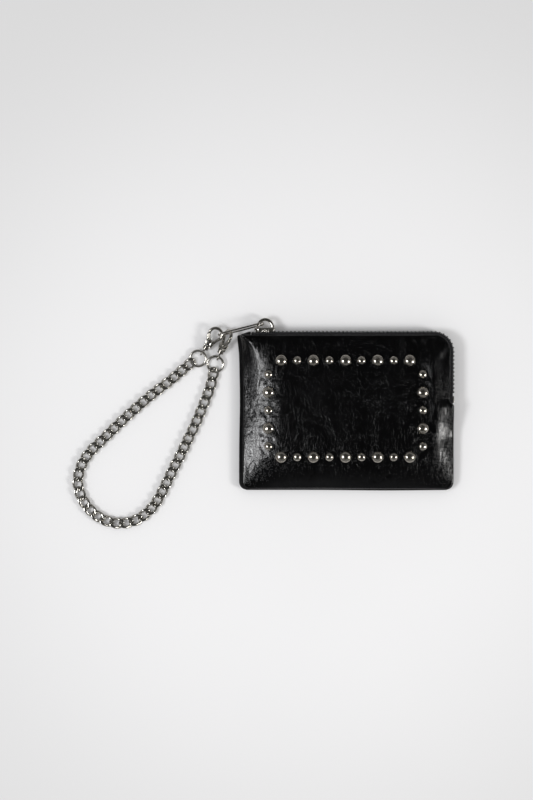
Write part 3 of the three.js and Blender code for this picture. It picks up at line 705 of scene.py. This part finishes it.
def front_relief(x, y):
    """How far the puffed, crinkled leather stands off its plain shape."""
    from_left, from_right = x + HALF_WIDTH, HALF_WIDTH - x
    from_top, from_bottom = HALF_HEIGHT - y, y + HALF_HEIGHT
    rim = min(from_left, from_right, from_top, from_bottom)
    edge = smooth((rim - 1.5) / 5)
    sides = hump(from_left, 6, 7) + 0.2 * hump(from_right, 6, 7)
    ends = hump(from_top, 7, 6) + 0.6 * hump(from_bottom, 8, 6)
    body = 0.35 * noise.noise(Vector((x / 26, y / 36, 2.0)))
    body += 0.10 * noise.noise(Vector((x / 9, y / 20, 6.0)))
    folds = (0.05 + 0.16 * sides) * crease(x, y, 6.5, 27, 1.3)
    folds += 0.05 * crease(x, y, 3.1, 15, 5.1) + 0.05 * crease(x, y, 1.9, 8, 8.4, 0.17)
    along_rim = 0.12 * crease(y, x, 5.2, 12, 11.0) * hump(from_left, 6, 7)
    along_rim += 0.30 * crease(x, y, 5.0, 11, 14.0) * ends
    u, v = (x + y - 90) * 0.7071, (y - x) * 0.7071  # along and across the zip's corner
    corner = smooth((x + y - 72) / 22)
    ripple = 0.55 * math.sin(v / 2.6 + 1.2 * noise.noise(Vector((u / 9, v / 9, 3))))
    height = body - folds - along_rim + corner * ripple * hump(u, -2, 9)
    left_roll = 0.8 * hump(from_left, 22, 9) * smooth((from_bottom - 6) / 18)
    right_roll = 1.3 * hump(from_right, 12.5, 5.5) * smooth((from_bottom - 4) / 30)
    right_roll *= smooth((from_top - 8) / 12)
    height, seated = held_by_studs(x, y, height)
    return (height + (left_roll + right_roll) * (1 - 0.35 * seated)) * edge


def row_ends(y, left, right, bottom, top):
    """The outline's two ends at a height."""
    ends = []
    for base, sign, high_radius in ((left, 1, TOP_LEFT_CORNER), (right, -1, ZIP_CORNER)):
        x = base
        if y < bottom + SEWN_CORNER:
            d = bottom + SEWN_CORNER - y
            x = base + sign * (SEWN_CORNER - math.sqrt(max(SEWN_CORNER ** 2 - d * d, 0)))
        elif y > top - high_radius:
            d = y - top + high_radius
            x = base + sign * (high_radius - math.sqrt(max(high_radius ** 2 - d * d, 0)))
        ends.append(x)
    return ends


def wander(x, y):
    """The sewn sides bow in and out a little; the zip runs straight."""
    left = (0.45 * hump(y, 6, 20) - 1.2 * hump(y, 46, 9)) * smooth((HALF_WIDTH * 0.2 - x) / 60)
    sewn = 2.0 * smooth((ZIP_END + 1.5 - y) / 3) * smooth((x - 40) / 20)
    notch = -0.3 * hump(y, ZIP_END + 4, 3.2) * smooth((x - 45) / 17)
    low = -(0.45 + 0.35 * hump(x, 25, 26)) * smooth((-y - 30) / 14)
    return left + sewn + notch, low


def leather_sheet(left, right, bottom, top, columns, rows, height, outward, fold=1.1):
    """A sheet with a rounded, turned edge; outward is 1 for the front and -1 for the back."""
    grid = []
    for j in range(rows + 1):
        t = j / rows
        y = lerp(bottom, top, t - 0.045 * math.sin(math.tau * t) / math.tau * 3.2)
        y = min(max(y, bottom + 0.02), top - 0.02)
        x0, x1 = row_ends(y, left, right, bottom, top)
        line = []
        for i in range(columns + 1):
            t = i / columns
            x = lerp(x0, x1, t - 0.03 * math.sin(math.tau * t))
            dx, dy = wander(x, y)
            rim = min(x - x0, x1 - x, y - bottom, top - y)
            roll = fold - math.sqrt(max(fold ** 2 - max(fold - rim, 0) ** 2, 0))
            line.append(Vector((x + dx, y + dy, height(x, y) - outward * roll * 0.75)))
        grid.append(line)
    skins = []
    for depth in (0, LEATHER_THICKNESS):
        skins.append([[Vector((p.x, p.y, p.z - outward * depth)) for p in line] for line in grid])
    points = [p for skin in skins for line in skin for p in line]
    wide = columns + 1
    lower = wide * (rows + 1)
    faces = []
    for j in range(rows):
        for i in range(columns):
            a = j * wide + i
            quad = (a, a + 1, a + wide + 1, a + wide)
            faces.append(quad if outward > 0 else tuple(reversed(quad)))
            under = tuple(lower + k for k in quad)
            faces.append(tuple(reversed(under)) if outward > 0 else under)
    border = list(range(wide)) + [j * wide + columns for j in range(1, rows + 1)]
    border += [rows * wide + i for i in range(columns - 1, -1, -1)]
    border += [j * wide for j in range(rows - 1, 0, -1)]
    for a, b in zip(border, border[1:] + border[:1]):
        rim = (a, lower + a, lower + b, b)
        faces.append(rim if outward > 0 else tuple(reversed(rim)))
    return points, faces


def front_face(x, y):
    return front_over(x, y) + front_relief(x, y)


def back_face(x, y):
    rim = min(HALF_WIDTH - abs(x), HALF_HEIGHT - abs(y))
    dents = 0.25 * crease(x, y, 7, 24, 21.0) + 0.12 * crease(x, y, 3, 12, 25.0)
    return back_under(x, y) + dents * smooth(rim / 6) + 0.02


coarse = 1
zip_side, zip_top = HALF_WIDTH - ZIP_INSET, HALF_HEIGHT - ZIP_INSET
front_sheet = leather_sheet(-HALF_WIDTH + FRONT_INSET_LEFT, zip_side, -HALF_HEIGHT + FRONT_INSET_BOTTOM,
                            zip_top, 240 // coarse, 180 // coarse, front_face, 1)
back_sheet = leather_sheet(-HALF_WIDTH, zip_side, -HALF_HEIGHT,
                           zip_top, 160 // coarse, 120 // coarse, back_face, -1, fold=0.6)
piece("front_leather", front_sheet, FRONT_LEATHER, "pouch", "leather", "front_panel", sharp=80)
piece("back_leather", back_sheet, BACK_LEATHER_PAINTED_LIGHTER, "pouch", "leather", "back_panel", sharp=80)


# ---- studs ----
DOME_FOOT = 0.32  # straight part under the dome


def stud_shape(radius, rise):
    """A dome with its neck through the leather and its clinched disc behind."""
    profile = [(0.05, -2.1), (1.7, -2.1), (1.8, -1.95), (1.8, -1.7), (1.7, -1.6), (0.9, -1.6), (0.9, 0.1),
               (radius - 0.15, 0.1), (radius, 0.2), (radius, DOME_FOOT)]
    for angle in range(8, 90, 8):
        a = math.radians(angle)
        profile.append((radius * math.cos(a), DOME_FOOT + (rise - 0.05) * math.sin(a) ** 0.92))
    profile.append((0.05, DOME_FOOT + rise - 0.05))
    return lathe(profile, 36)


SLOPE_REACH = 2


def stand_on(x, y):
    """The matrix of a place on the front panel, Z along its normal."""
    r = SLOPE_REACH
    slope_x = (front_over(x + r, y) - front_over(x - r, y)) / (2 * r)
    slope_y = (front_over(x, y + r) - front_over(x, y - r)) / (2 * r)
    normal = Vector((-slope_x, -slope_y, 1)).normalized()
    lean = Vector((0, 0, 1)).rotation_difference(normal)
    return Matrix.Translation((x, y, front_over(x, y))) @ lean.to_matrix().to_4x4()


for name, x, y, (radius, rise) in STUDS:
    piece(name.replace("stud", "dome_stud"), moved(stud_shape(radius, rise), stand_on(x, y)),
          STUD_METAL, "pouch", "studs", name)


# ---- zip: along the top, round the corner and down the side ----
CORNER_X, CORNER_Y, CORNER_RADIUS = 52.3, 35.3, 10.9
RUN = CORNER_X - ZIP_START
BEND = CORNER_RADIUS * math.pi / 2
ZIP_LENGTH = RUN + BEND + CORNER_Y - ZIP_END
TOOTH_PITCH = 2.4
TEETH_START = 6.3
TEETH_END = ZIP_LENGTH - 5.7
BEAD_END = ZIP_LENGTH - 4.8
BEAD_OFFSET = 2.1


def zip_at(s):
    """The matrix of a place on the zip: X along it, Y outwards from the pouch, Z up."""
    if s < RUN:
        x, y, heading = ZIP_START + s, ZIP_LINE, 0
    elif s < RUN + BEND:
        a = (s - RUN) / CORNER_RADIUS
        x, y = CORNER_X + CORNER_RADIUS * math.sin(a), CORNER_Y + CORNER_RADIUS * math.cos(a)
        heading = -math.degrees(a)
    else:
        x, y, heading = CORNER_X + CORNER_RADIUS, CORNER_Y - (s - RUN - BEND), -90
    return shift(x, y, ZIP_HEIGHT) @ turn("Z", heading)


def strip(start, end, section, pace=1.2, wobble=0.0, seed=0.0):
    """Carry a closed section of (out, up) points along the zip."""
    count = max(int((end - start) / pace), 2)
    rings = []
    for i in range(count + 1):
        s = lerp(start, end, i / count)
        place = zip_at(s)
        sway = wobble * noise.noise(Vector((s / 9, seed, 0)))
        rings.append([place @ Vector((0, out + sway, up)) for out, up in section])
    return rings_to_faces(rings)


def oval(out, up, half_out, half_up, sides=12):
    return [(out + half_out * math.cos(math.tau * k / sides), up + half_up * math.sin(math.tau * k / sides))
            for k in range(sides)]


def tooth(wide):
    """One moulded tooth: a clamp round the tape's cord and a narrower head past the middle."""
    clamp = block((-0.52, -wide, 0.9), (0.52, wide, 2.55), 0.3, 0.35)
    neck = block((-0.38, -0.7, -0.15), (0.38, 0.7, 1.1), 0.15, 0.25)
    head = block((-0.55, -0.8, -0.68), (0.55, 0.8, 0.05), 0.28, 0.35)
    return merge(clamp, neck, head)


def tooth_row(side, offset):
    """The front (1) or back (-1) row of teeth on its cord."""
    shape = tooth(1.15 if side > 0 else 0.75)
    flipped = [Vector((p.x, p.y, p.z * side)) for p in shape[0]]
    faces = shape[1] if side > 0 else [tuple(reversed(f)) for f in shape[1]]
    teeth = []
    s = TEETH_START + TOOTH_PITCH * offset
    while s < TEETH_END:
        teeth.append(moved((flipped, faces), zip_at(s)))
        s += TOOTH_PITCH
    cord = strip(TEETH_START, BEAD_END, oval(0, BEAD_OFFSET * side, 0.35, 0.5))
    return merge(cord, *teeth)


def tape_shape(side, seed):
    """Woven tape standing beside the teeth, its other edge turned in under the leather."""
    section = [(0.2, 2.9), (0.2, 4.1), (0.12, 4.28), (-0.1, 4.3), (-3.9, 4.3), (-4.0, 4.2), (-4.0, 4.0),
               (-3.9, 3.9), (-0.3, 3.9), (-0.2, 3.8), (-0.2, 2.9)]
    if side < 0:
        section = [(out, -up) for out, up in reversed(section)]
    return strip(0, ZIP_LENGTH, section, wobble=0.08, seed=seed)


piece("zip_tape_front", tape_shape(1, 3.0), TAPE_CLOTH, "pouch", "zip_tape", "front_zip_tape")
piece("zip_tape_back", tape_shape(-1, 7.0), TAPE_CLOTH, "pouch", "zip_tape", "back_zip_tape")
piece("zip_teeth_front", tooth_row(1, 0.25), TEETH, "pouch", "zip_teeth", "front_zip_teeth")
piece("zip_teeth_back", tooth_row(-1, 0.75), TEETH, "pouch", "zip_teeth", "back_zip_teeth")

for side, node in ((1, "front_top_stop"), (-1, "back_top_stop")):
    middle = ZIP_HEIGHT + BEAD_OFFSET * side
    stop = block((-56.7, ZIP_LINE - 0.6, middle - 0.6), (-55.6, ZIP_LINE + 0.6, middle + 0.6), 0.18, 0.25)
    piece(f"{node}_clip", stop, ZIP_METAL, "pouch", "zip_metal", node)
piece("bottom_stop_clip", block((62.1, 4.3, 3.0), (64.3, 8.5, 8.2), 0.4, 0.7), ZIP_METAL,
      "pouch", "zip_metal", "bottom_stop")


def end_tab():
    """The folded leather end of the zip: a small pad that tapers to its outer corner."""
    outline = rounded([(-62.6, 42.2), (-57.35, 42.2), (-57.35, 47.1), (-58.6, 47.0), (-63.4, 45.4)], 0.8, 4)
    middle_x, middle_y = -59.6, 44.6
    levels = []
    for k in range(9):
        t = k / 8
        swell = math.sin(math.pi * lerp(0.12, 0.88, t)) ** 0.35
        level = []
        for x, y in outline:
            up = lerp(4.3, 6.2, t) + 0.12 * noise.noise(Vector((x, y, 1)))
            level.append(Vector((lerp(middle_x, x, swell), lerp(middle_y, y, swell), up)))
        levels.append(level)
    return rings_to_faces(levels)


piece("zip_end_fold", end_tab(), EDGE_LEATHER_PAINTED_LIGHTER, "pouch", "leather", "zip_end_tab")


# ---- slider with its arch ----
SLIDER_LEFT, SLIDER_RIGHT = -55.3, -42.7
SLIDER_HALF = 3.6
PLATE_TOP = 49.3
CROWN_X = -48.7
CROWN_FOOT = PLATE_TOP - 0.3
CROWN_OUTER = (5.6, 6.3)
CROWN_INNER = (3.6, 4.3)


def slider_plate(inner, outer):
    half = SLIDER_HALF
    outline = rounded([(SLIDER_LEFT, -half * 0.5), (SLIDER_LEFT + 2.2, -half), (SLIDER_RIGHT - 1.2, -half),
                       (SLIDER_RIGHT, -half * 0.8), (SLIDER_RIGHT, half * 0.8), (SLIDER_RIGHT - 1.2, half),
                       (SLIDER_LEFT + 2.2, half), (SLIDER_LEFT, half * 0.5)], 0.9, 4)
    plate = slab(outline, -outer, -inner, 0.32)
    return moved(plate, shift(0, 0, ZIP_HEIGHT) @ turn("X", 90))


def crown_shape():
    """The arch that holds the pull, wider at its two feet."""
    rings = []
    for k in range(25):
        a = math.pi * k / 24
        spread = 1 + 0.18 * abs(math.cos(a)) ** 3
        outer = Vector((CROWN_X + CROWN_OUTER[0] * math.cos(a), CROWN_FOOT + CROWN_OUTER[1] * math.sin(a)))
        inner = Vector((CROWN_X + CROWN_INNER[0] * math.cos(a), CROWN_FOOT + CROWN_INNER[1] * math.sin(a)))
        middle, half = (outer + inner) / 2, (outer - inner) / 2
        ring = []
        for n in range(16):
            b = math.tau * n / 16
            across, up = squared(math.cos(b), 0.6), squared(math.sin(b), 0.6)
            ring.append(Vector((middle.x + half.x * across, middle.y + half.y * across,
                                ZIP_HEIGHT + 1.3 * spread * up)))
        rings.append(ring)
    return rings_to_faces(rings)


def slider_shape():
    """Two plates joined by a post, their turned lips, the ribs on top and the arch."""
    parts = [slider_plate(47.6, PLATE_TOP), slider_plate(43.4, 44.8)]
    parts.append(block((-54.5, 44.5, 4.7), (-51.9, 47.9, 6.5), 0.25, 0.3))
    for up in (-1, 1):
        for out in (-1, 1):
            z = sorted((ZIP_HEIGHT + up * 2.9, ZIP_HEIGHT + up * SLIDER_HALF))
            y = sorted((ZIP_LINE + out * 0.5, ZIP_LINE + out * 1.7))
            parts.append(block((SLIDER_LEFT + 2.0, y[0], z[0]), (SLIDER_RIGHT - 1.2, y[1], z[1]), 0.18, 0.2))
    for k in range(4):
        x = -50.3 + 1.2 * k
        rib = [(x, 46.9, ZIP_HEIGHT + 3.35), (x, 49.1, ZIP_HEIGHT + 3.35)]
        parts.append(tube(rib, 0.42, sides=12, rounded=True))
    return merge(*parts, crown_shape())


piece("slider_body", slider_shape(), ZIP_METAL, "slider", "zip_metal", "zip_slider", sharp=50)


# ---- long wire pull ----
PULL_LENGTH = 27.6
PULL_NEAR_HALF, PULL_FAR_HALF = 2.4, 2.6
PULL_WIRE = 0.52


def pull_route():
    """The long closed loop of wire, from its bar at the arch."""
    near, far = PULL_NEAR_HALF, PULL_FAR_HALF
    corners = rounded([(0, -near), (PULL_LENGTH, -far), (PULL_LENGTH, far), (0, near)], 2.2, 7)
    dense = []
    for a, b in zip(corners, corners[1:] + corners[:1]):
        a, b = Vector(a), Vector(b)
        cuts = max(int((b - a).length / 1.2), 1)
        dense.extend(a.lerp(b, k / cuts) for k in range(cuts))
    return [(p.x, p.y, 0) for p in dense]


pull_seat = shift(-49.8, 51.9, ZIP_HEIGHT) @ turn("Z", 194.4) @ turn("X", 104)
piece("wire_pull", moved(tube(pull_route(), PULL_WIRE, closed=True, sides=14), pull_seat),
      ZIP_METAL, "pull", "zip_metal", "zip_pull", sharp=70)


# ---- snap hooks: X along the hook from its ring, Y across to the fixed leg ----
HOOK_BAR = 0.85
HOOK_THROAT = 3.0
HOOK_TOP = 18.2
HOOK_STEPS = 46
GATE_PIVOT = shift(7.6, -1.4)


def hook_shape():
    """The bent bar, its swivel barrel, and the base with the cheeks that hold the gate."""
    middle = HOOK_THROAT + HOOK_BAR
    centre = HOOK_TOP - HOOK_THROAT - 2 * HOOK_BAR
    leg_y = 2.6 - HOOK_BAR
    route = [(5.9, leg_y - 0.1, 0), (7.4, leg_y, 0), (8.9, leg_y + 0.3, 0), (10.4, leg_y + 0.85, 0),
             (12.0, middle - 0.6, 0)]
    for k in range(13):
        a = math.pi / 2 - math.pi * k / 12
        route.append((centre + middle * math.cos(a), middle * math.sin(a), 0))
    route.append((centre - 0.3, -middle, 0))
    width = [1.15 - 0.2 * smooth(i / 12) for i in range(HOOK_STEPS)]
    bend = tube(resample(route, HOOK_STEPS), width, sides=14, rounded=True)
    barrel = lathe([(1.0, 0.0), (1.75, 0.0), (1.95, 0.2), (1.95, 0.75), (1.7, 0.95), (1.7, 1.1), (1.95, 1.3),
                    (1.95, 1.85), (1.75, 2.05), (1.0, 2.05)], 28)
    barrel = moved(barrel, shift(2.4, 0, 0) @ turn("Y", 90))
    walls = [block((4.2, y0, -1.5), (6.1, y1, 1.5), 0.2, 0.2) for y0, y1 in ((1.45, 2.1), (-2.1, -1.45))]
    shoulder = slab(rounded([(5.6, -2.0), (6.6, -2.55), (6.6, 2.55), (5.6, 2.0)], 0.3, 3), -1.9, 1.9, 0.35)
    root = block((6.2, 0.3, -1.85), (9.0, 2.6, 1.85), 0.4, 0.4)
    cheek = rounded([(6.2, -2.6), (8.2, -2.6), (9.0, -1.6), (9.0, 0.8), (6.2, 0.8)], 0.5, 4)
    cheeks = [slab(cheek, z0, z1, 0.15) for z0, z1 in ((1.32, 1.9), (-1.9, -1.32))]
    return merge(bend, barrel, *walls, shoulder, root, *cheeks)


def gate_shape():
    start = Vector((7.6, -1.4, 0))
    tip = Vector((12.3, -3.85, 0))
    route = [start.lerp(tip, k / 10) for k in range(11)]
    bar = tube(route, [0.98, 1.05, 1.12] + [1.15] * 6 + [1.1, 0.95], sides=14, squeeze=0.86)
    knuckle = lathe([(0.2, -1.0), (0.85, -1.0), (0.98, -0.85), (0.98, 0.85), (0.85, 1.0), (0.2, 1.0)], 20)
    return merge(bar, moved(knuckle, GATE_PIVOT))


def spring_shape():
    route = [(6.8, 0.02, 0), (7.8, 0.03, 0), (8.7, 0.0, 0), (9.5, -0.35, 0), (10.9, -1.15, 0)]
    return tube(route, 0.14, sides=8, squeeze=3.0)


def pin_shape():
    pin = lathe([(0.05, -2.02), (0.5, -2.0), (0.62, -1.94), (0.4, -1.88), (0.4, 1.88), (0.62, 1.94),
                 (0.5, 2.0), (0.05, 2.02)], 18)
    return moved(pin, GATE_PIVOT)


def eye_shape():
    stem = lathe([(0.1, 1.9), (0.7, 1.95), (0.5, 2.5), (0.48, 4.6), (0.9, 4.72), (1.0, 4.85), (1.0, 5.1),
                  (0.8, 5.25), (0.1, 5.28)], 18)
    return merge(torus(1.75, 0.54, 32, 12), moved(stem, turn("Y", 90)))


EYE_HEIGHT = 2.5
RING_RADIUS, RING_WIRE = 4.7, 0.8
RING_TILT = 10
RING_CUT = 118  # where the ring's split stands
RING_LEVEL = RING_RADIUS * math.cos(math.radians(RING_TILT))
RING_HEIGHT = EYE_HEIGHT - RING_RADIUS * math.sin(math.radians(RING_TILT))
HOOKS = (  # side, eye, heading, pitch, roll of the hook and of its eye, in degrees
    ("left", (-86.2, 34.7), 53.6, 12, 180, 90),
    ("right", (-76.7, 31.8), 66, 8.6, -58, -32),
)
for side, (x, y), heading, pitch, roll, eye_roll in HOOKS:
    seat = shift(x, y, EYE_HEIGHT) @ turn("Z", heading) @ turn("Y", -pitch) @ turn("X", roll)
    piece(f"{side}_hook_body", moved(hook_shape(), seat), HOOK_METAL, "pull", "hook_metal", f"{side}_hook")
    piece(f"{side}_gate_bar", moved(gate_shape(), seat), HOOK_METAL, f"{side}_gate", "hook_metal",
          f"{side}_gate")
    piece(f"{side}_spring_leaf", moved(spring_shape(), seat), SPRING_METAL, "pull", "spring_steel",
          f"{side}_gate_spring")
    piece(f"{side}_rivet", moved(pin_shape(), seat), SPRING_METAL, "pull", "spring_steel", f"{side}_gate_pin")
    piece(f"{side}_swivel", moved(eye_shape(), seat @ turn("X", eye_roll)), HOOK_METAL, f"{side}_swivel",
          "hook_metal", f"{side}_swivel_eye")
    back_x = RING_LEVEL * math.cos(math.radians(heading))
    back_y = RING_LEVEL * math.sin(math.radians(heading))
    ring_seat = shift(x - back_x, y - back_y, RING_HEIGHT)
    ring_seat = ring_seat @ turn("Z", heading) @ turn("Y", -RING_TILT) @ turn("Z", RING_CUT)
    ring = moved(torus(RING_RADIUS, RING_WIRE, 56, 14, gap=0.03), ring_seat)
    piece(f"{side}_split_ring", ring, CHAIN_METAL, "pull", "chain_metal", f"{side}_jump_ring")


# ---- hidden linings keep their shape and take a woven cloth ----
for node in ("front_lining", "back_lining"):
    for lining_slot in bpy.data.objects[node].material_slots:
        lining_slot.material = LINING_CLOTH


# ---- floor, light and surroundings ----
FLOOR_REACH = 3


def floor_material():
    """White paper with painted shade: a little greyer away from the pouch, where the light falls off."""
    made, g, shader, place = material("paper_floor")
    tone = g.add("TexNoise", Vector=place, Scale=6.0, Detail=3.0)
    white = g.blend(tone.outputs["Fac"], (0.79, 0.79, 0.80, 1), (0.82, 0.82, 0.83, 1))
    reach = g.add("VectorMath", {"operation": "DISTANCE"})
    g.feed(reach.inputs[0], place)
    reach.inputs[1].default_value = (-0.02, -0.02, 0)
    # painted shade: the paper greys towards the edges of the view
    paper_with_painted_falloff = g.blend(g.band(reach.outputs["Value"], 0.10, 0.32), white, (0.67, 0.67, 0.675, 1))
    g.feed(shader.inputs["Base Color"], paper_with_painted_falloff)
    fine = g.add("TexNoise", Vector=place, Scale=900.0, Detail=3.0)
    g.feed(shader.inputs["Roughness"], g.band(fine.outputs["Fac"], 0.3, 0.7, 0.75, 0.85))
    bumped(g, shader, ((fine.outputs["Fac"], 0.0001, 0.2),))
    return made


floor_mesh = bpy.data.meshes.new("floor")
floor_corners = [(x * FLOOR_REACH, y * FLOOR_REACH, 0) for x, y in ((-1, -1), (1, -1), (1, 1), (-1, 1))]
floor_mesh.from_pydata(floor_corners, [], [(0, 1, 2, 3)])
floor_mesh.materials.append(floor_material())
floor = bpy.data.objects.new("floor", floor_mesh)
scene.collection.objects.link(floor)


LIGHTS_AIM = Vector((-0.03, 0, 0))


def softbox(name, place, size, power, colour):
    data = bpy.data.lights.new(name, "AREA")
    data.shape = "RECTANGLE"
    data.size, data.size_y = size
    data.energy = power
    data.color = colour
    lamp = bpy.data.objects.new(name, data)
    lamp.location = place
    lamp.rotation_euler = (LIGHTS_AIM - Vector(place)).to_track_quat("-Z", "Y").to_euler()
    scene.collection.objects.link(lamp)


softbox("window_light", (-1.22, -0.28, 1.50), (0.55, 0.45), 14.5, (0.985, 0.99, 1.0))
softbox("fill_light", (1.42, -0.48, 1.14), (0.34, 0.50), 13, (1.0, 0.99, 0.97))


# ---- surroundings: an even white for matt surfaces, a dim studio in the reflections ----
EVEN_WHITE = (0.590, 0.586, 0.582, 1)
OVERHEAD = (0.046, 0.046, 0.044, 1)
WALLS = (0.26, 0.26, 0.265, 1)
HORIZON = (0.012, 0.012, 0.012, 1)
world = bpy.data.worlds.new("studio")
world.use_nodes = True
scene.world = world
sky = Graph(world.node_tree)
direction = sky.add("TexCoord").outputs["Generated"]
height = sky.add("SeparateXYZ")
sky.feed(height.inputs[0], direction)
upper = sky.blend(sky.band(height.outputs["Z"], 0.50, 0.86), WALLS, OVERHEAD)
studio = sky.blend(sky.band(height.outputs["Z"], 0.10, 0.45), HORIZON, upper)
mirrored = sky.add("LightPath").outputs["Is Glossy Ray"]
background = world.node_tree.nodes["Background"]
sky.feed(background.inputs["Color"], sky.blend(mirrored, EVEN_WHITE, studio))
background.inputs["Strength"].default_value = 1.0
world.cycles.sampling_method = "NONE"

scene.view_settings.view_transform = "Standard"
